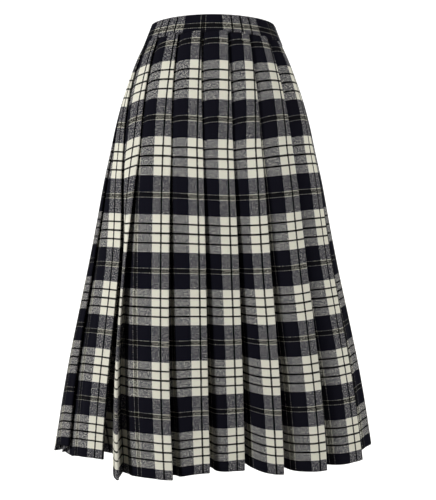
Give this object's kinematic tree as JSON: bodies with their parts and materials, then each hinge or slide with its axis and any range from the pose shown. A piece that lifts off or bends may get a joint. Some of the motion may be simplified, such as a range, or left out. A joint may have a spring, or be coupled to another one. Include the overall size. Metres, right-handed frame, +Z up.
{
  "type": "tartan skirt",
  "caption": "Long A-line knife-pleated tartan skirt, filled out and open at waist and hem, with a straight waistband lapped and buttoned at the side.",
  "frame": {"origin": "middle of the waist, at the height of the waistband, where the wearer's waist holds the skirt", "axes": "+Z up, the front of the skirt faces -Y, +X is the wearer's left, which is the viewer's right from the front"},
  "size_m": [0.6154, 0.4189, 0.8437],
  "materials": {
    "wool_tartan": "matte twill",
    "band_tartan": "matte twill",
    "button": "polished"
  },
  "bodies": {
    "root": {"skirt_front": "wool_tartan", "skirt_back": "wool_tartan", "waistband": "band_tartan", "waist_button": "button"}
  },
  "joints": []
}
